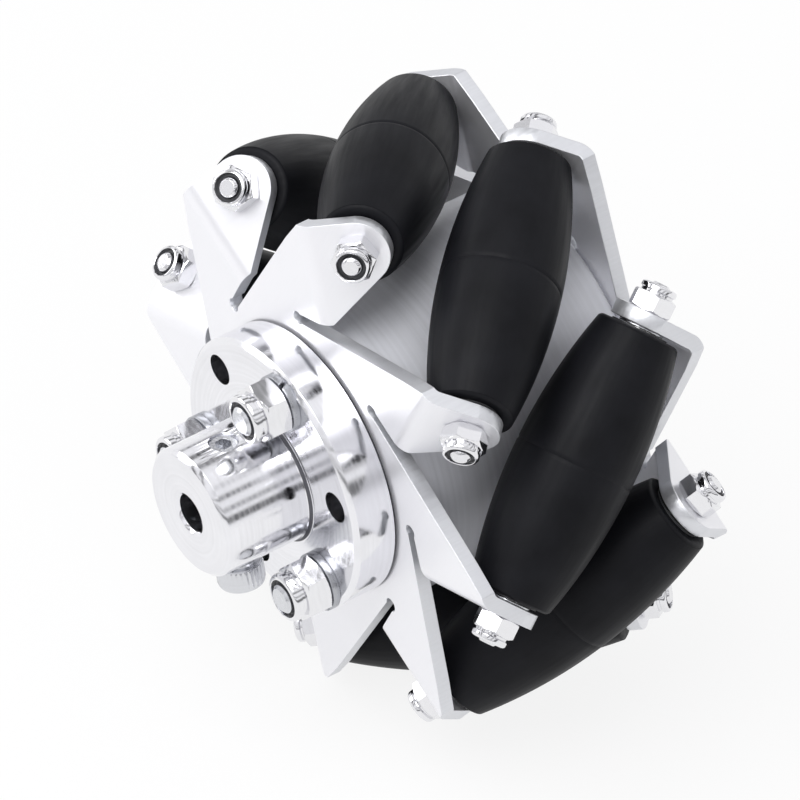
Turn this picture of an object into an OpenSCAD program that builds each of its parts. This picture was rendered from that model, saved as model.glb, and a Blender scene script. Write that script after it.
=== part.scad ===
// Mecanum wheel: eight barrel rollers held at 45 degrees between two pressed side plates,
// which are clamped over a turned drum by a flanged shaft coupling.
//
// The wheel is drawn about its own axis: x and y lie in the wheel's plane, z points to the coupling.
// in_wheel() then lays that axis along Y, with the origin at the mouth of the shaft bore.

/* [Wheel] */
// Diameter of the circle that the rollers run on
wheel_d = 60; // [59:0.5:63]
// Angle of the first roller round the wheel's axis
roller_phase = 19.3; // [0:0.1:44.9]

/* [Rollers] */
// Largest diameter of a roller, at its middle
roller_d = 12; // [11:0.5:12.5]
// Length of a roller's rubber
rubber_len = 28.4; // [27:0.2:28.6]
// Bevel round the rubber's ends
rubber_bevel = 0.6; // [0.3:0.1:0.8]
// Outer diameter of the tube that the rubber is moulded on
core_d = 5.8; // [5.2:0.2:6.2]
// How far the core stands out of the rubber at each end
core_stand = 0.15; // [0.1:0.05:0.2]
// Outer diameter of the bushes in the core's ends
bush_d = 4; // [3.6:0.1:4.4]
// Length of each bush
bush_len = 4; // [3:0.5:6]

/* [Axles] */
// Diameter of the axle between its shoulders
axle_d = 2.5; // [2.4:0.1:2.8]
// Diameter of the axle's threaded ends
axle_end_d = 2; // [1.8:0.1:2.1]
// Running clearance round the axle, on the radius
run_gap = 0.05; // [0.02:0.01:0.08]
// Thickness of the thrust washers
thrust_t = 0.25; // [0.2:0.05:0.3]
// Outer diameter of the thrust washers
thrust_d = 4.6; // [4:0.2:5]
// Across flats of the axle nuts
axle_nut_af = 4; // [3.8:0.1:4.4]
// Height of the axle nuts
axle_nut_h = 2.8; // [2.4:0.1:3]

/* [Side plates] */
// Thickness of the sheet
sheet_t = 1.5; // [1.3:0.1:1.6]
// Distance between the two plates' inner faces
plate_gap = 26.6; // [26.4:0.1:27.2]
// Inside radius of the bends
bend_r = 1; // [0.8:0.1:1.2]
// Radius of a lug's round end, about the axle's hole
lug_r = 3.3; // [3:0.1:3.4]
// Distance of each bend's inner end from the wheel's centre
bend_start = 16.6; // [16.4:0.1:17]
// Width of the slit behind each bend
slit_w = 1; // [0.8:0.1:1.2]
// Clearance round the axle's ends in the lugs
lug_gap = 0.1; // [0.05:0.05:0.15]

/* [Drum and coupling] */
// Diameter of the drum between the plates
drum_d = 33; // [30:0.5:33]
// Diameter of the hole through drum and plates that centres the coupling
centre_d = 12; // [10:0.5:13]
// Diameter of the coupling's flange
flange_d = 28.5; // [28:0.5:31]
// Thickness of the coupling's flange
flange_t = 4.8; // [4:0.2:5]
// Diameter of the coupling's boss
boss_d = 13.5; // [12:0.5:14.5]
// Length of the boss beyond the flange
boss_len = 9.7; // [9:0.1:12]
// Length of the coupling's spigot, inside the plate and drum
spigot_len = 4.5; // [3:0.5:8]
// Diameter of the motor shaft's bore
shaft_d = 4; // [3:0.5:6]
// Diameter of the circle of six holes
hole_circle_d = 22.6; // [22.4:0.1:23]
// Diameter of those holes
hole_d = 3.2; // [3.1:0.1:3.4]

/* [Fasteners] */
// Length of the through bolts under the head
bolt_len = 40; // [39.6:0.1:41]
// Distance of the set screws from the flange's front face
set_screw_up = 5.2; // [4.6:0.1:6]
// Angle of the sunk set screw round the boss
set_screw_1_at = 95; // [60:1:120]
// Angle of the headed set screw round the boss
set_screw_2_at = 280; // [270:1:288]

/* [Hidden] */

// rollers
n_rollers = 8;
pitch = 360 / n_rollers;
skew = 45;
roller_r = roller_d / 2;
roller_out = wheel_d / 2 - roller_r;             // from the wheel's axis to a roller's axis
rubber_half = rubber_len / 2;
core_half = rubber_half + core_stand;
// A skewed roller touches the wheel's cylinder where a normal of the cylinder passes through the
// roller's axis. Followed to the rubber's end, that normal gives the rubber's end radius; one arc
// through the middle and both ends keeps within a hundredth of a millimetre of the true barrel.
function off_axis(s) = norm([roller_out, s * sin(skew)]);
function along(s) = s * pow(sin(skew), 2) / off_axis(s);
function normal_foot(s, n) = n == 0 ? s : normal_foot(rubber_half - (wheel_d / 2 - off_axis(s)) * along(s), n - 1);
end_foot = normal_foot(rubber_half, 8);
rubber_end_r = (wheel_d / 2 - off_axis(end_foot)) * sqrt(1 - pow(along(end_foot), 2));
crown_drop = roller_r - rubber_end_r;
crown_r = (pow(rubber_half, 2) + pow(crown_drop, 2)) / (2 * crown_drop);

// plates: everything below lies in the plane across a roller's radius, with t along the wheel's
// circle and z along its axis; a lug is square to the axle and meets the flat web at a 45 degree bend
end_play = 0.05;
lug_in = core_half + end_play + thrust_t;        // along the axle, to the lug's inner face
lug_mid = lug_in + sheet_t / 2;
lug_out = lug_in + sheet_t;
web_z = plate_gap / 2 + sheet_t / 2;
fold_t = lug_mid / cos(skew) - web_z;            // where the two mid planes would cross
set_back = (bend_r + sheet_t / 2) * tan(skew / 2);
bend_t = fold_t - set_back;                      // where the web ends and the bend begins
lug_hole = (lug_mid * sin(skew) - fold_t) / cos(skew);   // from the fold to the axle, down the lug
bend_end = roller_out + lug_r;

// coupling
flange_z = plate_gap / 2 + sheet_t;
boss_z = flange_z + flange_t;
hub_end = boss_z + boss_len;

// bolts
bolt_r = 1.5;
washer_t = 0.5;
spring_t = 0.8;
nut_af = 5.5;
nut_h = 4;
bolt_seat = flange_z + washer_t;                 // the bolt heads' seat, behind the rear plate

// -- frames --------------------------------------------------------------------------------

module in_wheel() translate([0, hub_end, 0]) rotate([90, 0, 0]) children();

module at_roller(i)
    in_wheel() rotate(roller_phase + (i - 1) * pitch) translate([roller_out, 0, 0])
        rotate([skew, 0, 0]) children();

// both ends of an axle, z pointing outwards
module at_ends() for (e = [0, 1]) mirror([0, 0, e]) children();

// the three holes of the flange circle that carry bolts
module at_bolts()
    in_wheel() rotate(roller_phase + 60) for (i = [0 : 2]) rotate(120 * i)
        translate([hole_circle_d / 2, 0, 0]) children();

module hole_circle()
    for (i = [0 : 5]) rotate(60 * i) translate([hole_circle_d / 2, 0]) circle(d = hole_d, $fn = 40);

function turned(p, a) = [p[0] * cos(a) - p[1] * sin(a), p[0] * sin(a) + p[1] * cos(a)];
function arc(c, r, a0, a1, n) = [for (i = [0 : n]) c + r * [cos(a0 + (a1 - a0) * i / n), sin(a0 + (a1 - a0) * i / n)]];

// -- side plates ---------------------------------------------------------------------------

// One tooth of the web, anticlockwise: back along the slit that frees the bend, out along the bend
// line, round the shoulder, down the sloping leading edge, and in under the web's middle disc.
slit_end = 3.3;
tooth = [
    [bend_start - slit_w - 4, -slit_end], [bend_start, -slit_end],
    [bend_start, -bend_t], [bend_end, -bend_t], [bend_end - 2.1, 2.6 - bend_t],
    turned([bend_start - slit_w, -slit_end], pitch), turned([bend_start - slit_w - 4, -slit_end], pitch),
];

module web()
    translate([0, 0, plate_gap / 2]) linear_extrude(sheet_t) difference() {
        union() {
            circle(r = bend_start - slit_w - 0.2, $fn = 96);
            for (k = [0 : n_rollers - 1]) rotate(k * pitch) polygon(tooth);
        }
        for (k = [0 : n_rollers - 1]) rotate(k * pitch)
            translate([bend_start - slit_w / 2, -slit_end]) circle(d = slit_w + 0.4, $fn = 24);
        circle(d = centre_d, $fn = 96);
        hole_circle();
    }

// Section across a bend and its lug: the sheet turns through the skew angle and runs straight on.
bend_c = [-bend_t, plate_gap / 2 - bend_r];
lug_len = lug_hole + lug_r + 1 - set_back;
bend_section = concat(
    arc(bend_c, bend_r + sheet_t, 90, 90 + skew, 8),
    [for (r = [bend_r + sheet_t, bend_r])
        bend_c + r * [-sin(skew), cos(skew)] - lug_len * [cos(skew), sin(skew)]],
    arc(bend_c, bend_r, 90 + skew, 90, 8)
);

// What is cut away from a lug, y running down from the fold: all that lies beyond its round end
// about the axle's hole, and beyond the straight inner edge from there to the bend's inner end.
lug_c = [roller_out, lug_hole];
lug_run = [bend_start, set_back] - lug_c;
lug_tangent = atan2(lug_run[1], lug_run[0]) - acos(lug_r / norm(lug_run)) + 360;
lug_edge = [-sin(lug_tangent), cos(lug_tangent)];
lug_waste = concat(
    [[bend_end + 0.02, lug_hole]],
    arc(lug_c, lug_r, 7, lug_tangent, 24),
    [
        lug_c + lug_r * [cos(lug_tangent), sin(lug_tangent)] + (norm(lug_run) + 2) * lug_edge,
        [bend_start - 6, lug_hole + lug_r + 3], [bend_end + 3, lug_hole + lug_r + 3], [bend_end + 3, lug_hole],
    ]
);

module lug()
    difference() {
        translate([bend_start, 0, 0]) rotate([90, 0, 90])
            linear_extrude(bend_end - bend_start) polygon(bend_section);
        translate([0, -fold_t, web_z]) rotate([180 + skew, 0, 0]) {
            linear_extrude(4 * sheet_t, center = true) polygon(lug_waste);
            translate(lug_c) cylinder(h = 4 * sheet_t, d = axle_end_d + 2 * lug_gap, center = true, $fn = 40);
        }
    }

module side_plate() {
    web();
    for (k = [0 : n_rollers - 1]) rotate(k * pitch) lug();
}

module front_plate() color("#dfe0e6") in_wheel() rotate(roller_phase) side_plate();

// The same pressing, turned over about a roller's radius.
module rear_plate() color("#d6d7de") in_wheel() rotate(roller_phase) rotate([180, 0, 0]) side_plate();

// -- drum and coupling -----------------------------------------------------------------------

module centre_drum()
    color("#c9cbd1") in_wheel() rotate(roller_phase) difference() {
        rotate_extrude($fn = 128) polygon([
            [centre_d / 2, -plate_gap / 2], [drum_d / 2 - 0.3, -plate_gap / 2],
            [drum_d / 2, 0.3 - plate_gap / 2], [drum_d / 2, plate_gap / 2 - 0.3],
            [drum_d / 2 - 0.3, plate_gap / 2], [centre_d / 2, plate_gap / 2],
        ]);
        translate([0, 0, -plate_gap]) linear_extrude(2 * plate_gap) hole_circle();
    }

set_screw_z = boss_z + set_screw_up;

// turns z outwards along a radius of the boss
module at_boss(a) in_wheel() rotate(a) translate([0, 0, set_screw_z]) rotate([0, 90, 0]) children();

module hub_coupling()
    color("#d4d6db") difference() {
        in_wheel() difference() {
            rotate_extrude($fn = 128) polygon(concat(
                [
                    [shaft_d / 2 + 0.3, flange_z - spigot_len], [centre_d / 2 - 0.5, flange_z - spigot_len],
                    [centre_d / 2 - 0.02, flange_z - spigot_len + 0.5], [centre_d / 2 - 0.02, flange_z],
                    [flange_d / 2 - 0.3, flange_z], [flange_d / 2, flange_z + 0.3],
                    [flange_d / 2, boss_z - 0.5], [flange_d / 2 - 0.5, boss_z],
                ],
                arc([boss_d / 2 + 0.5, boss_z + 0.5], 0.5, 270, 180, 4),
                [
                    [boss_d / 2, hub_end - 0.5], [boss_d / 2 - 0.5, hub_end],
                    [shaft_d / 2 + 0.3, hub_end], [shaft_d / 2, hub_end - 0.3],
                    [shaft_d / 2, flange_z - spigot_len + 0.3],
                ]
            ));
            rotate(roller_phase) translate([0, 0, flange_z - 1]) linear_extrude(flange_t + 2) hole_circle();
        }
        for (a = [set_screw_1_at, set_screw_2_at]) at_boss(a) cylinder(h = boss_d, r = bolt_r, $fn = 40);
    }

// -- screws, washers and nuts ----------------------------------------------------------------

// Hexagon with bevelled corners under a round collar that holds the nylon ring.
module lock_nut(af, h, hole_r) {
    corner = af / 2 / cos(30);
    hex_h = 0.66 * h;
    difference() {
        union() {
            intersection() {
                cylinder(h = hex_h, r = corner, $fn = 6);
                rotate_extrude($fn = 64) polygon([
                    [0, 0], [0.96 * af / 2, 0], [corner + 0.01, (corner - 0.95 * af / 2) / 2],
                    [corner + 0.01, hex_h - (corner - 0.95 * af / 2) / 2], [0.96 * af / 2, hex_h], [0, hex_h],
                ]);
            }
            rotate_extrude($fn = 64) polygon([
                [0, hex_h - 0.2], [0.47 * af, hex_h - 0.2], [0.46 * af, h - 0.12 * af],
                [0.42 * af, h - 0.04 * af], [0.36 * af, h], [0, h],
            ]);
        }
        translate([0, 0, -1]) cylinder(h = h + 2, r = hole_r, $fn = 40);
    }
}

// Socket head on a plain shank; the head's seat is at z = 0 and the shank runs to -len.
module cap_screw(r, len, head_r, head_h, socket_af)
    difference() {
        rotate_extrude($fn = 64) polygon([
                [0, -len], [r - 0.3, -len], [r, 0.3 - len], [r, 0], [head_r, 0],
                [head_r, head_h - 0.3], [head_r - 0.3, head_h], [0, head_h],
            ]);
        translate([0, 0, 0.45 * head_h]) cylinder(h = head_h, d = socket_af / cos(30), $fn = 6);
    }

module flange_bolts()
    color("#b9bcc4") at_bolts() translate([0, 0, -bolt_seat]) mirror([0, 0, 1])
        cap_screw(bolt_r, bolt_len, 2.75, 3, 2.5);

module rear_washers()
    color("#c6c8ce") at_bolts() translate([0, 0, -bolt_seat]) ring(3.5, hole_d / 2, washer_t);

module spring_washers()
    color("#a9acb4") at_bolts() translate([0, 0, boss_z]) difference() {
        ring(3, hole_d / 2, spring_t);
        translate([3, 0, spring_t / 2]) rotate([25, 0, 0]) cube([6, 0.4, 4], center = true);
    }

module flange_nuts()
    color("#d0d2d8") at_bolts() translate([0, 0, boss_z + spring_t]) lock_nut(nut_af, nut_h, bolt_r);

module ring(r_out, r_in, t)
    difference() {
        cylinder(h = t, r = r_out, $fn = 64);
        translate([0, 0, -1]) cylinder(h = t + 2, r = r_in, $fn = 48);
    }

// Sunk in the boss, its tip just clear of the shaft's bore.
module set_screw_1()
    color("#9a9da5") at_boss(set_screw_1_at) difference() {
        rotate_extrude($fn = 48) polygon([
            [0, shaft_d / 2 + 0.3], [bolt_r - 0.5, shaft_d / 2 + 0.3], [bolt_r, shaft_d / 2 + 0.8],
            [bolt_r, boss_d / 2 - 0.5], [bolt_r - 0.2, boss_d / 2 - 0.3], [0, boss_d / 2 - 0.3],
        ]);
        translate([0, 0, boss_d / 2 - 1.9]) cylinder(h = 3, d = 1.5 / cos(30), $fn = 6);
    }

// Headed, standing off the boss.
module set_screw_2()
    color("#a9acb4") at_boss(set_screw_2_at) translate([0, 0, boss_d / 2 + 0.7])
        cap_screw(bolt_r, boss_d / 2 + 0.7 - shaft_d / 2 - 0.3, 2.4, 2.5, 2);

// -- rollers ---------------------------------------------------------------------------------

// Rubber barrel: an arc turned about the axle, so that the eight barrels make one round wheel.
module roller_rubber(i)
    color("#17171a") at_roller(i) rotate_extrude($fn = 96) intersection() {
        translate([roller_r - crown_r, 0]) circle(r = crown_r, $fn = 240);
        polygon([
            [core_d / 2, -rubber_half], [rubber_end_r - rubber_bevel, -rubber_half],
            [rubber_end_r - rubber_bevel + 4, 4 - rubber_half],
            [rubber_end_r - rubber_bevel + 4, rubber_half - 4],
            [rubber_end_r - rubber_bevel, rubber_half], [core_d / 2, rubber_half],
        ]);
    }

// Tube with a seat for a bush in each end.
module roller_core(i)
    color("#3a3b40") at_roller(i) rotate_extrude($fn = 48) polygon([
        [bush_d / 2, -core_half], [core_d / 2, -core_half], [core_d / 2, core_half], [bush_d / 2, core_half],
        [bush_d / 2, core_half - bush_len], [axle_d / 2 + 0.3, core_half - bush_len],
        [axle_d / 2 + 0.3, bush_len - core_half], [bush_d / 2, bush_len - core_half],
    ]);

module roller_bushes(i)
    color("#c9a45c") at_roller(i) at_ends() translate([0, 0, core_half - bush_len])
        ring(bush_d / 2, axle_d / 2 + run_gap, bush_len);

// Shoulders butt against the lugs; the thinner ends pass through them and carry the nuts.
module axle(i)
    color("#c4c6cc") at_roller(i) rotate_extrude($fn = 48) polygon([
        [0, -axle_tip], [axle_end_d / 2 - 0.25, -axle_tip], [axle_end_d / 2, 0.25 - axle_tip],
        [axle_end_d / 2, -lug_in], [axle_d / 2, -lug_in], [axle_d / 2, lug_in],
        [axle_end_d / 2, lug_in], [axle_end_d / 2, axle_tip - 0.25], [axle_end_d / 2 - 0.25, axle_tip],
        [0, axle_tip],
    ]);
axle_tip = lug_out + axle_nut_h + 0.2;

module axle_nuts()
    color("#d8dadf") for (i = [1 : n_rollers]) at_roller(i) at_ends()
        translate([0, 0, lug_out]) lock_nut(axle_nut_af, axle_nut_h, axle_end_d / 2);

module thrust_washers()
    color("#b9bcc4") for (i = [1 : n_rollers]) at_roller(i) at_ends()
        translate([0, 0, lug_in - thrust_t]) ring(thrust_d / 2, axle_d / 2 + run_gap, thrust_t);

// --------------------------------------------------------------------------------------------

front_plate();
rear_plate();
centre_drum();
hub_coupling();
set_screw_1();
set_screw_2();
flange_bolts();
rear_washers();
spring_washers();
flange_nuts();
axle_nuts();
thrust_washers();
axle(1);  // axle_1
axle(2);  // axle_2
axle(3);  // axle_3
axle(4);  // axle_4
axle(5);  // axle_5
axle(6);  // axle_6
axle(7);  // axle_7
axle(8);  // axle_8
roller_core(1);  // roller_core_1
roller_core(2);  // roller_core_2
roller_core(3);  // roller_core_3
roller_core(4);  // roller_core_4
roller_core(5);  // roller_core_5
roller_core(6);  // roller_core_6
roller_core(7);  // roller_core_7
roller_core(8);  // roller_core_8
roller_bushes(1);  // roller_bushes_1
roller_bushes(2);  // roller_bushes_2
roller_bushes(3);  // roller_bushes_3
roller_bushes(4);  // roller_bushes_4
roller_bushes(5);  // roller_bushes_5
roller_bushes(6);  // roller_bushes_6
roller_bushes(7);  // roller_bushes_7
roller_bushes(8);  // roller_bushes_8
roller_rubber(1);  // roller_rubber_1
roller_rubber(2);  // roller_rubber_2
roller_rubber(3);  // roller_rubber_3
roller_rubber(4);  // roller_rubber_4
roller_rubber(5);  // roller_rubber_5
roller_rubber(6);  // roller_rubber_6
roller_rubber(7);  // roller_rubber_7
roller_rubber(8);  // roller_rubber_8
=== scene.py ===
import bpy
import bmesh
import math
from mathutils import Matrix, Vector
from mathutils.bvhtree import BVHTree


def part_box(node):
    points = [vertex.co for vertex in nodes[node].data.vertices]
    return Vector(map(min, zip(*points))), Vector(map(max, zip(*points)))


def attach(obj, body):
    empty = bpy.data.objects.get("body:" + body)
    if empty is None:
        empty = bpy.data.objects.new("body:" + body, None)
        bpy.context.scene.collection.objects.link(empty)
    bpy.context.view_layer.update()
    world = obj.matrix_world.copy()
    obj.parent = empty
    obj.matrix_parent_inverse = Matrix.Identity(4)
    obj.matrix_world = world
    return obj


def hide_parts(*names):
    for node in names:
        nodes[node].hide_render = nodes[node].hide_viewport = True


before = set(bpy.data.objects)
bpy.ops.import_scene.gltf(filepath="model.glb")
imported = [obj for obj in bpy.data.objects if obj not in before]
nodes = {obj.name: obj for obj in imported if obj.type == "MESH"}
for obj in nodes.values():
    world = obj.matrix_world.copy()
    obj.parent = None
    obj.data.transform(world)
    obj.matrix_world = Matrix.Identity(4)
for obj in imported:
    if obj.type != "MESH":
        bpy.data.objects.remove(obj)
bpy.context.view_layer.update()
bpy.context.scene.view_settings.view_transform = "Standard"


# --- Table, backdrop and light -----------------------------------------------------------------
# The wheel stands on its rollers on a white table that runs up behind it without an edge.
# Two soft lamps and a pale room light it; long dark screens in the room give the metal its streaks.

drum_low, drum_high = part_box("centre_drum")
wheel_middle = (drum_low + drum_high) / 2
rollers_reach = 0.0301                              # from the wheel's axis to the table, with a hair to spare
table_height = wheel_middle.z - rollers_reach
table_half = 1.5


def add_node(tree, kind, settings=None, **inputs):
    """A new node; its sockets take plain values or other nodes' outputs, by name."""
    made = tree.nodes.new(kind)
    for name, value in (settings or {}).items():
        setattr(made, name, value)
    for name, value in inputs.items():
        feed(tree, made.inputs[name.replace("_", " ")], value)
    return made


def feed(tree, socket, value):
    """Links another node's output to a socket, or sets the socket's own value."""
    if isinstance(value, bpy.types.NodeSocket):
        tree.links.new(value, socket)
    else:
        socket.default_value = value


def sum_of(tree, operation, *values):
    """One step of arithmetic on numbers or outputs."""
    made = tree.nodes.new("ShaderNodeMath")
    made.operation = operation
    for socket, value in zip(made.inputs, values):
        feed(tree, socket, value)
    return made.outputs[0]


def blend_of(tree, share, first, second):
    """Two colours mixed by a share from 0 to 1."""
    made = add_node(tree, "ShaderNodeMixRGB", Fac=share)
    feed(tree, made.inputs["Color1"], first)
    feed(tree, made.inputs["Color2"], second)
    return made.outputs["Color"]


def grey(value, blue=1.0):
    """A grey, made cooler where blue is over 1."""
    return (value, value, min(value * blue, 1.0), 1)


table_mesh = bpy.data.meshes.new("table")
table_corners = [(x * table_half, y * table_half, table_height)
                 for x, y in ((-1, -1), (1, -1), (1, 1), (-1, 1))]
table_mesh.from_pydata(table_corners, [], [(0, 1, 2, 3)])
table = bpy.data.objects.new("table", table_mesh)
bpy.context.scene.collection.objects.link(table)
table_paint = bpy.data.materials.new("white_table")
table_paint.use_nodes = True
tree = table_paint.node_tree
tree.nodes.clear()
seen = add_node(tree, "ShaderNodeLightPath").outputs
shows_white = sum_of(tree, "MAXIMUM", seen["Is Camera Ray"], seen["Is Glossy Ray"])
paint = add_node(tree, "ShaderNodeBsdfDiffuse", Color=grey(0.82))
white = add_node(tree, "ShaderNodeEmission", Color=grey(1.0), Strength=1.0)
# the white lies thinner close to the wheel, so that the wheel's shadow shows through it
near, far_off = 0.06, 0.35
thin, full = 0.86, 1.0
spot = add_node(tree, "ShaderNodeTexCoord").outputs["Object"]
away = add_node(tree, "ShaderNodeVectorMath", {"operation": "LENGTH"}, Vector=spot).outputs["Value"]
fade = add_node(tree, "ShaderNodeMapRange", Value=away, From_Min=near, From_Max=far_off,
                To_Min=thin, To_Max=full)
cover = tree.nodes.new("ShaderNodeMixShader")
feed(tree, cover.inputs[0], sum_of(tree, "MULTIPLY", shows_white, fade.outputs[0]))
feed(tree, cover.inputs[1], paint.outputs[0])
feed(tree, cover.inputs[2], white.outputs[0])
add_node(tree, "ShaderNodeOutputMaterial", Surface=cover.outputs[0])
table_mesh.materials.append(table_paint)

room = bpy.data.worlds.new("room")
bpy.context.scene.world = room
room.use_nodes = True
tree = room.node_tree
tree.nodes.clear()
seen = add_node(tree, "ShaderNodeLightPath").outputs
looking = add_node(tree, "ShaderNodeTexCoord").outputs["Generated"]
way = add_node(tree, "ShaderNodeSeparateXYZ", Vector=looking).outputs
round_axis = sum_of(tree, "MULTIPLY_ADD", sum_of(tree, "ARCTAN2", way["Z"], way["X"]), 1 / (2 * math.pi), 0.5)
screens = add_node(tree, "ShaderNodeValToRGB", Fac=round_axis)
steps = screens.color_ramp
steps.elements[0].position, steps.elements[0].color = 0.0, grey(0.95)
steps.elements[1].position, steps.elements[1].color = 1.0, grey(0.95)
open_room = 0.98
soft_edge = 3                                       # of a screen, in degrees
# each long screen: its middle round the wheel's axis in degrees, its width, and how dark it is
for middle, width, value in ((10, 9, 0.18), (28, 5, 0.45), (49, 5, 0.30), (68, 6, 0.75), (114, 10, 0.30),
                             (139, 7, 0.12), (169, 5, 0.35)):
    outside = width / 2 + soft_edge
    for turn, shade in ((-outside, open_room), (-width / 2, value), (width / 2, value), (outside, open_room)):
        step = steps.elements.new((middle + turn) / 360 + 0.5)
        step.color = grey(shade, 1.03)
room_light = grey(0.66, 1.02)
mirrored = blend_of(tree, seen["Is Glossy Ray"], room_light, screens.outputs["Color"])
shown = blend_of(tree, seen["Is Camera Ray"], mirrored, grey(1.0))
sky = add_node(tree, "ShaderNodeBackground", Color=shown, Strength=1.0)
add_node(tree, "ShaderNodeOutputWorld", Surface=sky.outputs[0])

for name, place, size, power in (
        ("lamp_above", (0.05, -0.25, 0.55), 0.45, 2.3),
        ("lamp_left", (-0.45, -0.30, 0.25), 0.35, 0.8)):
    lamp_data = bpy.data.lights.new(name, "AREA")
    lamp_data.size = size
    lamp_data.energy = power
    lamp = bpy.data.objects.new(name, lamp_data)
    bpy.context.scene.collection.objects.link(lamp)
    lamp.location = wheel_middle + Vector(place)
    lamp.rotation_mode = "QUATERNION"
    lamp.rotation_quaternion = Vector(place).to_track_quat("Z", "Y")


# --- Camera ------------------------------------------------------------------------------------
# A long lens, well above the wheel and to the right of its coupling.
# It stands so far off that the wheel shows almost no perspective.

azimuth, elevation = math.radians(54.4), math.radians(42.5)
towards_camera = Vector((math.sin(azimuth) * math.cos(elevation), -math.cos(azimuth) * math.cos(elevation),
                         math.sin(elevation)))
lens = bpy.data.cameras.new("camera")
lens.lens = 500
lens.sensor_width = 36
lens.clip_start, lens.clip_end = 0.05, 10
camera = bpy.data.objects.new("camera", lens)
bpy.context.scene.collection.objects.link(camera)
bpy.context.scene.camera = camera
camera.rotation_mode = "QUATERNION"
camera.rotation_quaternion = towards_camera.to_track_quat("Z", "Y")
right_hand = camera.rotation_quaternion @ Vector((1, 0, 0))
upwards = camera.rotation_quaternion @ Vector((0, 1, 0))
field = 0.078                                       # width of the view at the wheel
aim_aside, aim_below = 0.0035, 0.0005               # of the wheel's middle, where the lens points
aim = wheel_middle - right_hand * aim_aside - upwards * aim_below
camera.location = aim + towards_camera * (field * lens.lens / lens.sensor_width)


# --- Centre drum -------------------------------------------------------------------------------
# Aluminium bar turned to size and matt anodised, with a centring bore and six clearance holes.
# It keeps the side plates apart; the turning lines run round it.

def new_material(name):
    finish = bpy.data.materials.new(name)
    finish.use_nodes = True
    tree = finish.node_tree
    shader = next(n for n in tree.nodes if n.type == "BSDF_PRINCIPLED")
    return finish, tree, shader.inputs


def spread(tree, value, low, high):
    """Stretches a cloudy pattern's middle tones over a span."""
    stretched = add_node(tree, "ShaderNodeMapRange", Value=value, From_Min=0.3, From_Max=0.7,
                         To_Min=low, To_Max=high)
    return stretched.outputs[0]


def clouds(tree, place, fineness, detail=4):
    return add_node(tree, "ShaderNodeTexNoise", Vector=place, Scale=fineness, Detail=detail).outputs["Fac"]


def round_the_wheel(tree):
    """A place as distance from the wheel's axis and distance along it, so a pattern runs in rings."""
    place = add_node(tree, "ShaderNodeTexCoord").outputs["Object"]
    x, y, z = add_node(tree, "ShaderNodeSeparateXYZ", Vector=place).outputs
    reach = sum_of(tree, "SQRT", sum_of(tree, "MULTIPLY_ADD", x, x, sum_of(tree, "MULTIPLY", z, z)))
    return add_node(tree, "ShaderNodeCombineXYZ", X=reach, Y=y).outputs[0]


def metal(name, colour, rough, marks_along, fineness, depth, stain, bare=1.0):
    """Bright metal: tool marks that run as marks_along says, under a faint cloudy stain.
    rough is the roughness at the marks' two extremes, depth the marks' height in metres, and stain
    how much of the colour is left where it is darkest.
    bare is 1 for bare metal, and less for an anodised or blasted skin that scatters light."""
    finish, tree, shader = new_material(name)
    marks = clouds(tree, marks_along(tree), fineness, 3)
    cloudy = clouds(tree, add_node(tree, "ShaderNodeTexCoord").outputs["Object"], 260)
    both = sum_of(tree, "MULTIPLY_ADD", marks, 0.6, sum_of(tree, "MULTIPLY", cloudy, 0.4))
    shader["Metallic"].default_value = bare
    feed(tree, shader["Base Color"], blend_of(tree, spread(tree, both, 0.0, 1.0),
                                              (*(c * stain for c in colour), 1), (*colour, 1)))
    feed(tree, shader["Roughness"], spread(tree, marks, *rough))
    relief = add_node(tree, "ShaderNodeBump", Strength=0.4, Distance=depth, Height=marks)
    feed(tree, shader["Normal"], relief.outputs[0])
    return finish


def eased_copy(node, name, finishes, body, corner=0.00009, corner_angle=28):
    """A merged copy of a CAD piece with its sharp corners broken, as a file or a tumbler leaves them."""
    weld = 0.000002
    nearly_flat = math.radians(0.4)
    copy = bmesh.new()
    copy.from_mesh(nodes[node].data)
    bmesh.ops.remove_doubles(copy, verts=copy.verts, dist=weld)
    bmesh.ops.dissolve_limit(copy, angle_limit=nearly_flat, verts=copy.verts, edges=copy.edges)
    mesh = bpy.data.meshes.new(name)
    copy.to_mesh(mesh)
    copy.free()
    mesh.shade_smooth()
    piece = bpy.data.objects.new(name, mesh)
    bpy.context.scene.collection.objects.link(piece)
    bevel = piece.modifiers.new("corners", "BEVEL")
    bevel.width = corner
    bevel.segments = 2
    bevel.limit_method = "ANGLE"
    bevel.angle_limit = math.radians(corner_angle)
    bevel.use_clamp_overlap = True
    bevel.harden_normals = True
    finish_mesh(piece, finishes, body)
    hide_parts(node)
    return piece


def finish_mesh(piece, finishes, body):
    """Gives a piece its even shading, finish and body, with its modifiers made real."""
    piece.modifiers.new("even shading", "WEIGHTED_NORMAL").keep_sharp = True
    piece.modifiers.new("triangles", "TRIANGULATE").keep_custom_normals = True
    ready = piece.evaluated_get(bpy.context.evaluated_depsgraph_get())
    mesh = bpy.data.meshes.new_from_object(ready)
    piece.modifiers.clear()
    piece.data = mesh
    mesh.name = piece.name
    if finishes:
        mesh.materials.clear()
        for finish in finishes:
            mesh.materials.append(finish)
    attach(piece, body)


drum_metal = metal("turned_drum", (0.82, 0.83, 0.88), (0.40, 0.54), round_the_wheel,
                   fineness=2400, depth=0.000004, stain=0.86, bare=0.25)
eased_copy("centre_drum", "drum_turned", [drum_metal], "wheel")


# --- Side plates -------------------------------------------------------------------------------
# Two pressings of the same 1.5 mm sheet, bright and lightly brushed, with eight bent teeth each.
# The faces keep the mill's satin grain; the sheared edges are rougher, with lines across the sheet.

sheet = 0.0015


def down_the_sheet(tree):
    """The place that lay_brush_lines keeps on each face of a plate."""
    return add_node(tree, "ShaderNodeAttribute", {"attribute_name": "sheet_place"}).outputs["Vector"]


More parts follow.
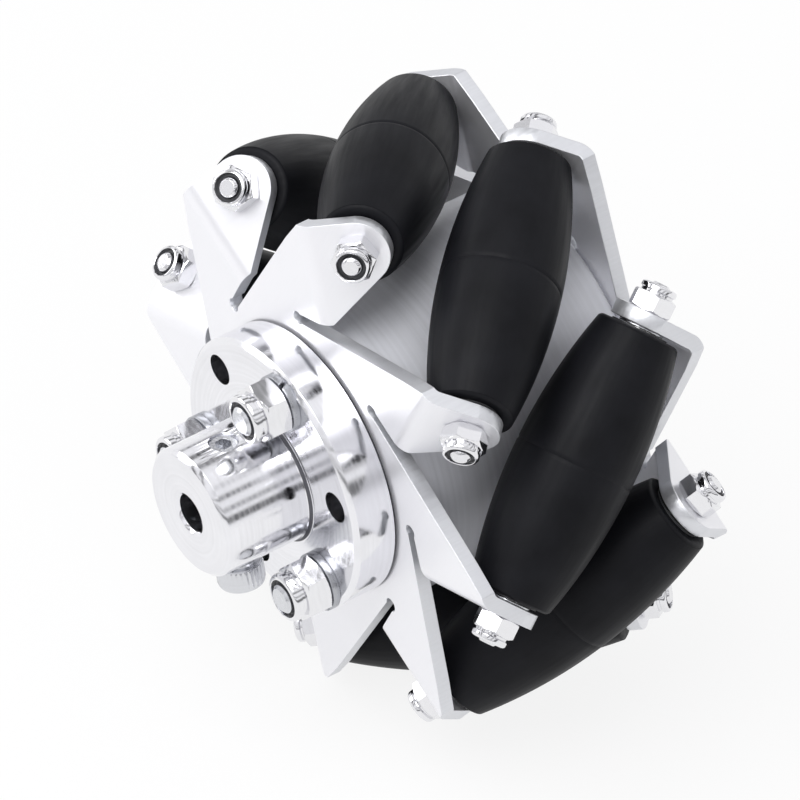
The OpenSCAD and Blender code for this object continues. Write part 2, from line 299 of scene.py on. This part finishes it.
def through_the_sheet(tree):
    """A place drawn out through the sheet's thickness, as a shear leaves its lines."""
    place = add_node(tree, "ShaderNodeTexCoord").outputs["Object"]
    return add_node(tree, "ShaderNodeMapping", Vector=place, Scale=(1, 0.08, 1)).outputs[0]


plate_face = metal("brushed_sheet", (0.90, 0.90, 0.93), (0.29, 0.38), down_the_sheet,
                   fineness=5200, depth=0.0000012, stain=0.975, bare=0.7)
plate_edge = metal("sheared_edge", (0.76, 0.77, 0.80), (0.30, 0.46), through_the_sheet,
                   fineness=4200, depth=0.000008, stain=0.90, bare=0.8)


def mark_sheared_edges(mesh):
    """A face with the sheet's other side right behind it stays bright; the rest are sheared edges."""
    under_skin = 0.000001
    give = 0.12 * sheet
    walls = BVHTree.FromPolygons([v.co for v in mesh.vertices], [tuple(p.vertices) for p in mesh.polygons])
    for polygon in mesh.polygons:
        start = polygon.center - polygon.normal * under_skin
        behind = walls.ray_cast(start, -polygon.normal)[3]
        if behind is None or abs(behind - sheet) > give:
            polygon.material_index = 1


def lay_brush_lines(mesh):
    """Keeps each corner's place on its own face, across the brush lines and along them, so that
    the lines stay in the sheet where it is bent."""
    brush = Vector((0.47, 0, 0.88))
    drawn_out = 0.04                                # what a line's length counts for, so that it looks long
    places = mesh.attributes.new("sheet_place", "FLOAT_VECTOR", "CORNER").data
    for polygon in mesh.polygons:
        along = (brush - polygon.normal * brush.dot(polygon.normal)).normalized()
        across = polygon.normal.cross(along)
        for corner in polygon.loop_indices:
            point = mesh.vertices[mesh.loops[corner].vertex_index].co
            places[corner].vector = (point.dot(across), point.dot(along) * drawn_out, 0)


for plate in ("front_plate", "rear_plate"):
    pressing = eased_copy(plate, plate + "_pressed", [plate_face, plate_edge], "wheel")
    mark_sheared_edges(pressing.data)
    lay_brush_lines(pressing.data)


# --- Shaft coupling ----------------------------------------------------------------------------
# Turned and polished aluminium: a flange, a boss bored for the motor's shaft, and six holes.
# Its end faces show the rings of the facing cut, and its corners carry painted shade.

hub_metal = metal("polished_coupling", (0.89, 0.89, 0.92), (0.08, 0.20), round_the_wheel,
                  fineness=2600, depth=0.0000022, stain=0.88)
# painted shade: a near-black finish for the faces under the flange's rim and round the boss's foot, where
# contact shade falls
corner_painted_shade = metal("painted_corner_shade", (0.16, 0.16, 0.18), (0.40, 0.60), round_the_wheel,
                     fineness=2600, depth=0.000002, stain=0.70)
coupling = eased_copy("hub_coupling", "coupling_turned", [hub_metal, corner_painted_shade], "wheel",
                      corner=0.00006, corner_angle=40)
flange_front, flange_seat = 0.0097, 0.0145          # along the wheel's axis, from the bore's mouth
flange_rim, boss_wall = 0.01425, 0.00675
rim_band, seat_band, foot_band = 0.00032, 0.00030, 0.00035   # how far the painted shade spreads at each corner
face_slack, wall_slack = 0.0001, 0.00001
# the faces in these corners take the painted shade
for polygon in coupling.data.polygons:
    reach = math.hypot(polygon.center.x, polygon.center.z)
    height = polygon.center.y
    under_rim = reach > flange_rim - rim_band and height > flange_seat - seat_band
    on_foot = flange_front - foot_band < height < flange_front + face_slack
    round_boss = boss_wall - wall_slack < reach < boss_wall + foot_band
    if under_rim or (on_foot and round_boss):
        polygon.material_index = 1


# --- Lock nuts ---------------------------------------------------------------------------------
# Nickel-plated hexagons with bevelled corners, under a rolled collar that grips a nylon ring.
# Sixteen small ones hold the axles in the lugs, three larger ones hold the coupling.

roller_place = {}
for i in range(1, 9):
    low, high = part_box(f"roller_rubber_{i}")
    roller_place[i] = (low + high) / 2 - wheel_middle
first_angle = math.atan2(roller_place[1].z, roller_place[1].x)
roller_out = math.hypot(roller_place[1].z, roller_place[1].x)


def new_tree(name, wants):
    """A Geometry Nodes tree with named inputs; returns it, its inputs and its result."""
    tree = bpy.data.node_groups.new(name, "GeometryNodeTree")
    tree.interface.new_socket("Geometry", in_out="INPUT", socket_type="NodeSocketGeometry")
    for label, kind in wants:
        tree.interface.new_socket(label, in_out="INPUT", socket_type="NodeSocket" + kind)
    tree.interface.new_socket("Geometry", in_out="OUTPUT", socket_type="NodeSocketGeometry")
    given = tree.nodes.new("NodeGroupInput").outputs
    return tree, given, tree.nodes.new("NodeGroupOutput").inputs["Geometry"]


def made_with(steps_tree, name, start_mesh, **values):
    """A plain mesh object made by a tree from a starting mesh and the tree's named inputs."""
    piece = bpy.data.objects.new(name, start_mesh)
    bpy.context.scene.collection.objects.link(piece)
    steps = piece.modifiers.new("steps", "NODES")
    steps.node_group = steps_tree
    sockets = {s.name: s.identifier for s in steps_tree.interface.items_tree if s.in_out == "INPUT"}
    for label, value in values.items():
        steps[sockets[label.replace("_", " ")]] = value
    mesh = bpy.data.meshes.new_from_object(piece.evaluated_get(bpy.context.evaluated_depsgraph_get()))
    piece.modifiers.remove(steps)
    piece.data = mesh
    return piece


def xyz(tree, x=0.0, y=0.0, z=0.0):
    return add_node(tree, "ShaderNodeCombineXYZ", X=x, Y=y, Z=z).outputs[0]


def moved(tree, geometry, turn=(0.0, 0.0, 0.0), shift=(0.0, 0.0, 0.0)):
    return add_node(tree, "GeometryNodeTransform", Geometry=geometry, Rotation=xyz(tree, *turn),
                    Translation=xyz(tree, *shift)).outputs[0]


# Sets copies of one piece round the wheel: seated along their own axis, at one or both ends of it,
# leaned over, moved out from the middle and turned step by step. Each point remembers its own place.
round_wheel, given, result = new_tree("set round the wheel", [
    ("Number", "Int"), ("Step", "Float"), ("First angle", "Float"), ("Out", "Float"), ("Lean", "Float"),
    ("Seat", "Float"), ("Both ends", "Bool"), ("Middle", "Float"), ("Finish", "Material")])
own = add_node(round_wheel, "GeometryNodeStoreNamedAttribute",
               {"data_type": "FLOAT_VECTOR", "domain": "POINT"},
               Geometry=given["Geometry"], Name="own_place",
               Value=add_node(round_wheel, "GeometryNodeInputPosition").outputs[0])
seated = moved(round_wheel, own.outputs[0], shift=(0.0, 0.0, given["Seat"]))
both = round_wheel.nodes.new("GeometryNodeJoinGeometry")
for end in (seated, moved(round_wheel, seated, turn=(math.pi, 0.0, 0.0))):
    feed(round_wheel, both.inputs[0], end)
ends = add_node(round_wheel, "GeometryNodeSwitch", Switch=given["Both ends"])
feed(round_wheel, ends.inputs["False"], seated)
feed(round_wheel, ends.inputs["True"], both.outputs[0])
leaned = moved(round_wheel, ends.outputs[0], turn=(given["Lean"], 0.0, 0.0), shift=(given["Out"], 0.0, 0.0))
spots = add_node(round_wheel, "GeometryNodePoints", Count=given["Number"])
turns = sum_of(round_wheel, "MULTIPLY_ADD", round_wheel.nodes.new("GeometryNodeInputIndex").outputs[0],
               given["Step"], given["First angle"])
copies = add_node(round_wheel, "GeometryNodeInstanceOnPoints", Points=spots.outputs[0], Instance=leaned,
                  Rotation=xyz(round_wheel, z=turns))
laid = moved(round_wheel, copies.outputs[0], turn=(math.pi / 2, 0.0, 0.0), shift=(0.0, given["Middle"], 0.0))
real = add_node(round_wheel, "GeometryNodeRealizeInstances", Geometry=laid)
dressed = add_node(round_wheel, "GeometryNodeSetMaterial", Geometry=real.outputs[0], Material=given["Finish"])
feed(round_wheel, result, dressed.outputs[0])


def rings_mesh(name, stations, around, looped=False, sharp=30):
    """A closed solid of rings along z: each station is a height and a radius, or a rule for the
    radius by angle. A radius of 0 is a single point on the axis; looped joins the last ring to the first."""
    solid = bmesh.new()
    rings = []
    for height, reach in stations:
        if reach == 0:
            rings.append([solid.verts.new((0, 0, height))] * around)
            continue
        ring = []
        for k in range(around):
            angle = 2 * math.pi * k / around
            radius = reach(angle) if callable(reach) else reach
            ring.append(solid.verts.new((radius * math.cos(angle), radius * math.sin(angle), height)))
        rings.append(ring)
    pairs = list(zip(rings, rings[1:])) + ([(rings[-1], rings[0])] if looped else [])
    for lower, upper in pairs:
        for k in range(around):
            corners = []
            for corner in (lower[k], lower[(k + 1) % around], upper[(k + 1) % around], upper[k]):
                if corner not in corners:
                    corners.append(corner)
            if len(corners) > 2:
                solid.faces.new(corners)
    bmesh.ops.recalc_face_normals(solid, faces=solid.faces)
    mesh = bpy.data.meshes.new(name)
    solid.to_mesh(mesh)
    solid.free()
    mesh.shade_smooth()
    mesh.set_sharp_from_angle(angle=math.radians(sharp))
    return mesh


def hexagon(across_flats, within=1.0):
    """Rule for a hexagon's outline, held within a circle."""
    def reach(angle):
        off_corner = (angle + math.pi / 6) % (math.pi / 3) - math.pi / 6
        return min(across_flats / 2 / math.cos(off_corner), within)
    return reach


def lock_nut_shapes(across_flats, height, thread_r):
    """The steel of a lock nut and its nylon ring, seated at z = 0."""
    corner = across_flats / math.sqrt(3)
    face = 0.475 * across_flats
    body = 0.66 * height
    fall = (corner - face) * math.tan(math.radians(30))
    bevel = [(fall * k / 6, hexagon(across_flats, face + (corner - face) * k / 6)) for k in range(7)]
    collar = 0.455 * across_flats
    mouth = 0.355 * across_flats
    lip = 0.04 * across_flats
    ring_seat = height - 0.30 * across_flats
    thread = thread_r + 0.00002
    steel = ([(0, thread + 0.0001)] + bevel + [(body - z, rule) for z, rule in reversed(bevel)]
             + [(body, collar + 0.3 * lip), (body + 0.2 * lip, collar - lip),
                (body + 1.4 * lip, collar - 1.2 * lip), (body + 2.2 * lip, collar),
                (height - 2 * lip, collar)]
             + [(height - 2 * lip + 2 * lip * math.sin(a), collar - 2 * lip + 2 * lip * math.cos(a))
                for a in (0.4, 0.8, 1.2, math.pi / 2)]
             + [(height - 0.2 * lip, mouth + 0.2 * lip), (height - lip, mouth), (ring_seat, mouth),
                (ring_seat, thread), (0.0001, thread)])
    nylon = [(ring_seat + 0.00001, thread), (ring_seat + 0.00001, mouth - 0.00001),
             (height - 2.6 * lip, mouth - 0.00001), (height - 2.1 * lip, mouth - lip),
             (height - 2.1 * lip, thread + 0.6 * lip), (height - 2.6 * lip, thread)]
    return steel, nylon


def round_the_axle(tree):
    """The same pattern of rings, about a placed piece's own axis."""
    place = add_node(tree, "ShaderNodeAttribute", {"attribute_name": "own_place"}).outputs["Vector"]
    x, y, z = add_node(tree, "ShaderNodeSeparateXYZ", Vector=place).outputs
    reach = sum_of(tree, "SQRT", sum_of(tree, "MULTIPLY_ADD", x, x, sum_of(tree, "MULTIPLY", y, y)))
    return add_node(tree, "ShaderNodeCombineXYZ", X=reach, Y=z).outputs[0]


nickel = metal("nickel_plate", (0.86, 0.86, 0.88), (0.07, 0.15), round_the_axle,
               fineness=1600, depth=0.0000008, stain=0.90)
# the nylon ring is dark nylon, made near black as painted shade for the shaded gap in the nut's mouth
nylon_and_painted_shade, tree, shader = new_material("nut_nylon_and_painted_shade")
grained = clouds(tree, add_node(tree, "ShaderNodeTexCoord").outputs["Object"], 2400)
feed(tree, shader["Base Color"], blend_of(tree, grained, (0.018, 0.019, 0.022, 1), (0.035, 0.036, 0.040, 1)))
feed(tree, shader["Roughness"], spread(tree, grained, 0.35, 0.55))

lean = math.radians(45)
lug_face = 0.01615                                  # along the axle, from the roller's middle to a nut's seat
bolt_circle = 0.0113
flange_nut_seat = 0.0204                            # from the wheel's middle, past the spring washer
first_bolt = first_angle + math.radians(60)
axle_nut_shapes = lock_nut_shapes(across_flats=0.0040, height=0.0028, thread_r=0.0010)
flange_nut_shapes = lock_nut_shapes(across_flats=0.0055, height=0.0040, thread_r=0.0015)

for name, shape, seat, out, tilt, number, both_ends, angle, node in (
        ("axle_nut", axle_nut_shapes, lug_face, roller_out, lean, 8, True, first_angle, "axle_nuts"),
        ("flange_nut", flange_nut_shapes, flange_nut_seat, bolt_circle, 0.0, 3, False, first_bolt,
         "flange_nuts")):
    for part, stations, finish in (("steel", shape[0], nickel), ("ring", shape[1], nylon_and_painted_shade)):
        start = rings_mesh(f"{name}_{part}", stations, 96, looped=True)
        nuts = made_with(round_wheel, f"{name}s_{part}", start, Number=number, Step=2 * math.pi / number,
                         First_angle=angle, Out=out, Lean=tilt, Seat=seat, Both_ends=both_ends,
                         Middle=wheel_middle.y, Finish=finish)
        finish_mesh(nuts, None, "wheel")
        if part == "steel":
            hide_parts(node)


# --- Screws and washers of the flange ----------------------------------------------------------
# Three zinc-plated socket screws run from behind the rear plate through plates, drum and coupling.
# Their heads are knurled; a plain washer lies under each head and a spring washer under each nut.

def knurled(radius, ridges, depth):
    """Rule for a straight-knurled rim."""
    return lambda angle: radius - depth * (0.5 - 0.5 * math.cos(ridges * angle)) ** 0.7


def cap_screw_shape(shank_r, length, head_r, head_h, socket, ridges):
    """A socket head standing on z = 0, with its plain shank below."""
    rim = knurled(head_r, ridges, 0.00009)
    deep = 0.45 * head_h
    return ([(-length, 0), (-length, shank_r - 0.0003), (0.0003 - length, shank_r), (-0.0002, shank_r),
             (0, shank_r + 0.0001), (0, head_r - 0.00025), (0.0001, head_r - 0.0001), (0.0003, rim),
             (head_h - 0.00055, rim), (head_h - 0.0004, head_r - 0.00008)]
            + [(head_h - 0.0004 + 0.0004 * math.sin(a), head_r - 0.00048 + 0.0004 * math.cos(a))
               for a in (0.3, 0.6, 0.9, 1.2, math.pi / 2)]
            + [(head_h, socket / math.sqrt(3) + 0.00015), (head_h - 0.00015, hexagon(socket)),
               (deep, hexagon(socket)), (deep - 0.0003, 0)])


zinc = metal("zinc_plate", (0.74, 0.75, 0.78), (0.18, 0.30), round_the_axle,
             fineness=2600, depth=0.000004, stain=0.86)
bolt_seat = 0.0153                                  # from the wheel's middle to under the heads
bolt_shape = cap_screw_shape(shank_r=0.0015, length=0.040, head_r=0.00275, head_h=0.003, socket=0.0025,
                             ridges=36)
start = rings_mesh("flange_bolt", bolt_shape, 216)
bolts = made_with(round_wheel, "flange_bolts_knurled", start, Number=3, Step=2 * math.pi / 3,
                  First_angle=first_bolt, Out=bolt_circle, Lean=math.pi, Seat=bolt_seat,
                  Both_ends=False, Middle=wheel_middle.y, Finish=zinc)
finish_mesh(bolts, None, "wheel")
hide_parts("flange_bolts")


def lying_about(tree):
    """A plain place, for marks that run no special way."""
    return add_node(tree, "ShaderNodeTexCoord").outputs["Object"]


washer_zinc = metal("washer_zinc", (0.76, 0.77, 0.80), (0.18, 0.30), lying_about,
                    fineness=4200, depth=0.000002, stain=0.88)
spring_steel = metal("spring_steel", (0.50, 0.51, 0.54), (0.25, 0.40), lying_about,
                     fineness=4200, depth=0.000002, stain=0.82)
eased_copy("rear_washers", "rear_washers_pressed", [washer_zinc], "wheel", corner=0.0001)
eased_copy("thrust_washers", "thrust_washers_pressed", [washer_zinc], "wheel", corner=0.00004)
eased_copy("spring_washers", "spring_washers_cut", [spring_steel], "wheel", corner=0.00006)


# --- Set screws of the coupling ----------------------------------------------------------------
# Two screws across the boss clamp the motor's shaft: one sunk in the boss, one with a knurled head.
# The second leaves a little of its thread bare under the head.

eased_copy("set_screw_1", "set_screw_sunk", [washer_zinc], "wheel", corner=0.00005)

head_seat = 0.00745                                 # from the wheel's axis to under the head
screw_low, screw_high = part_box("set_screw_2")
screw_middle = (screw_low + screw_high) / 2
outwards = Vector((screw_middle.x, 0, screw_middle.z)).normalized()
screw_shape = cap_screw_shape(shank_r=0.0015, length=0.00515, head_r=0.0024, head_h=0.0025, socket=0.0020,
                              ridges=30)
screw_mesh = rings_mesh("set_screw_headed", screw_shape, 180)
own = screw_mesh.attributes.new("own_place", "FLOAT_VECTOR", "POINT")
for spot, point in zip(own.data, screw_mesh.vertices):
    spot.vector = point.co
screw_mesh.transform(Matrix.Translation(outwards * head_seat + Vector((0, screw_middle.y, 0)))
                     @ outwards.to_track_quat("Z", "Y").to_matrix().to_4x4())
headed = bpy.data.objects.new("set_screw_headed", screw_mesh)
bpy.context.scene.collection.objects.link(headed)
finish_mesh(headed, [zinc], "wheel")
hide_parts("set_screw_2")


# --- Axles -------------------------------------------------------------------------------------
# Steel pins between opposite lugs, ground where the bushes run, thinner and threaded at the ends.
# A lock nut on each end holds them still in the lugs, and the rollers turn on them.

axle_steel = metal("axle_steel", (0.82, 0.82, 0.84), (0.12, 0.22), lying_about,
                   fineness=2600, depth=0.000002, stain=0.92)
for i in range(1, 9):
    eased_copy(f"axle_{i}", f"axle_{i}_ground", [axle_steel], "wheel", corner=0.00003)


# --- Rollers -----------------------------------------------------------------------------------
# Black rubber barrels moulded on a nylon tube, with a bronze bush in each end.
# The halves of the mould leave a fine ring round the middle and faint lines along the barrel.

barrel_tree, given, result = new_tree("moulded barrel", [
    ("Half length", "Float"), ("Middle radius", "Float"), ("Crown radius", "Float"), ("Core radius", "Float"),
    ("Bevel", "Float"), ("Seam depth", "Float"), ("Finish", "Material")])
stations = 121
row = add_node(barrel_tree, "GeometryNodeMeshLine", Count=stations + 2)
outline = add_node(barrel_tree, "GeometryNodeMeshToCurve")
feed(barrel_tree, outline.inputs[0], row.outputs[0])
index = barrel_tree.nodes.new("GeometryNodeInputIndex").outputs[0]
half = (stations - 1) / 2
share = sum_of(barrel_tree, "SUBTRACT", sum_of(barrel_tree, "DIVIDE", index, half), 1.0)
along = sum_of(barrel_tree, "MULTIPLY", share, given["Half length"])
crown = given["Crown radius"]
square = sum_of(barrel_tree, "SUBTRACT", sum_of(barrel_tree, "MULTIPLY", crown, crown),
                sum_of(barrel_tree, "MULTIPLY", along, along))
arc_reach = sum_of(barrel_tree, "SUBTRACT", sum_of(barrel_tree, "SQRT", square),
                   sum_of(barrel_tree, "SUBTRACT", crown, given["Middle radius"]))
seam_half = 0.00005                                 # of the ring's width
at_middle = sum_of(barrel_tree, "LESS_THAN", sum_of(barrel_tree, "ABSOLUTE", along), seam_half)
seam = sum_of(barrel_tree, "MULTIPLY", at_middle, given["Seam depth"])
arc_reach = sum_of(barrel_tree, "SUBTRACT", arc_reach, seam)
in_core = sum_of(barrel_tree, "GREATER_THAN", index, stations - 0.5)
last = sum_of(barrel_tree, "GREATER_THAN", index, stations + 0.5)
which_end = sum_of(barrel_tree, "SUBTRACT", 1.0, sum_of(barrel_tree, "MULTIPLY", last, 2.0))
end_side = sum_of(barrel_tree, "MULTIPLY", which_end, given["Half length"])


def either(tree, choice, off, on):
    """One of two numbers, as choice is 0 or 1."""
    made = tree.nodes.new("GeometryNodeSwitch")
    made.input_type = "FLOAT"
    feed(tree, made.inputs["Switch"], choice)
    feed(tree, made.inputs["False"], off)
    feed(tree, made.inputs["True"], on)
    return made.outputs[0]


path_r = 0.001                                      # of the ring that the outline is swept round
point_reach = either(barrel_tree, in_core, arc_reach, given["Core radius"])
point_along = either(barrel_tree, in_core, along, end_side)
spot = xyz(barrel_tree, x=sum_of(barrel_tree, "SUBTRACT", point_reach, path_r),
           y=sum_of(barrel_tree, "MULTIPLY", point_along, -1.0))
drawn = add_node(barrel_tree, "GeometryNodeSetPosition", Geometry=outline.outputs[0], Position=spot)
closed = add_node(barrel_tree, "GeometryNodeSetSplineCyclic", Geometry=drawn.outputs[0], Cyclic=True)
from_middle = sum_of(barrel_tree, "ABSOLUTE", sum_of(barrel_tree, "SUBTRACT", index, half))
at_end = sum_of(barrel_tree, "COMPARE", from_middle, half, 0.1)
rounded = add_node(barrel_tree, "GeometryNodeFilletCurve", {"mode": "POLY"}, Curve=closed.outputs[0], Count=5,
                   Radius=sum_of(barrel_tree, "MULTIPLY", at_end, given["Bevel"]))
ring = add_node(barrel_tree, "GeometryNodeCurvePrimitiveCircle", Resolution=96)
ring.inputs["Radius"].default_value = path_r
lathe = add_node(barrel_tree, "GeometryNodeCurveToMesh", Curve=ring.outputs[0])
feed(barrel_tree, lathe.inputs["Profile Curve"], rounded.outputs[0])
outward = add_node(barrel_tree, "GeometryNodeFlipFaces", Mesh=lathe.outputs[0])
solid = add_node(barrel_tree, "GeometryNodeRealizeInstances", Geometry=outward.outputs[0])
dressed = add_node(barrel_tree, "GeometryNodeSetMaterial", Geometry=solid.outputs[0],
                   Material=given["Finish"])
feed(barrel_tree, result, dressed.outputs[0])

rubber, tree, shader = new_material("moulded_rubber")
own = add_node(tree, "ShaderNodeAttribute", {"attribute_name": "own_place"}).outputs["Vector"]
x, y, z = add_node(tree, "ShaderNodeSeparateXYZ", Vector=own).outputs
angle = sum_of(tree, "ARCTAN2", y, x)
# lines along the barrel: even along z, and the same at both ends of the turn
flow_place = xyz(tree, x=sum_of(tree, "COSINE", angle), y=sum_of(tree, "SINE", angle),
                 z=sum_of(tree, "MULTIPLY", z, 22.0))
flow = clouds(tree, flow_place, 7.0, 5)
pores = clouds(tree, own, 5200, 3)
dust = clouds(tree, own, 240, 5)
feed(tree, shader["Base Color"], blend_of(tree, spread(tree, dust, 0.0, 1.0), (0.0050, 0.0052, 0.0068, 1),
                                          (0.0090, 0.0093, 0.0118, 1)))
feed(tree, shader["Roughness"], spread(tree, flow, 0.42, 0.56))
shader["Specular IOR Level"].default_value = 0.13
pored = add_node(tree, "ShaderNodeBump", Strength=0.25, Distance=0.000012, Height=pores)
lined = add_node(tree, "ShaderNodeBump", Strength=0.5, Distance=0.00005, Height=flow, Normal=pored.outputs[0])
feed(tree, shader["Normal"], lined.outputs[0])

core_nylon, tree, shader = new_material("core_nylon")
grained = clouds(tree, add_node(tree, "ShaderNodeTexCoord").outputs["Object"], 1600)
feed(tree, shader["Base Color"], blend_of(tree, grained, (0.030, 0.030, 0.033, 1), (0.055, 0.055, 0.060, 1)))
feed(tree, shader["Roughness"], spread(tree, grained, 0.38, 0.55))
bronze = metal("bush_bronze", (0.72, 0.52, 0.28), (0.24, 0.36), lying_about,
               fineness=2200, depth=0.000004, stain=0.80)

barrel = made_with(barrel_tree, "barrel", bpy.data.meshes.new("barrel_start"), Half_length=0.0142,
                   Middle_radius=0.0060, Crown_radius=0.05485, Core_radius=0.0029, Bevel=0.0006,
                   Seam_depth=0.00009, Finish=rubber)
barrel_mesh = barrel.data
bpy.data.objects.remove(barrel)
for i, place in roller_place.items():
    roller = made_with(round_wheel, f"roller_{i}_barrel", barrel_mesh.copy(), Number=1, Step=0.0,
                       First_angle=math.atan2(place.z, place.x), Out=roller_out, Lean=lean, Seat=0.0,
                       Both_ends=False, Middle=wheel_middle.y, Finish=rubber)
    roller.data.shade_smooth()
    roller.data.set_sharp_from_angle(angle=math.radians(40))
    finish_mesh(roller, None, f"roller_{i}")
    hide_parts(f"roller_rubber_{i}")
    for node, finish in ((f"roller_core_{i}", core_nylon), (f"roller_bushes_{i}", bronze)):
        mesh = nodes[node].data
        mesh.materials.clear()
        mesh.materials.append(finish)
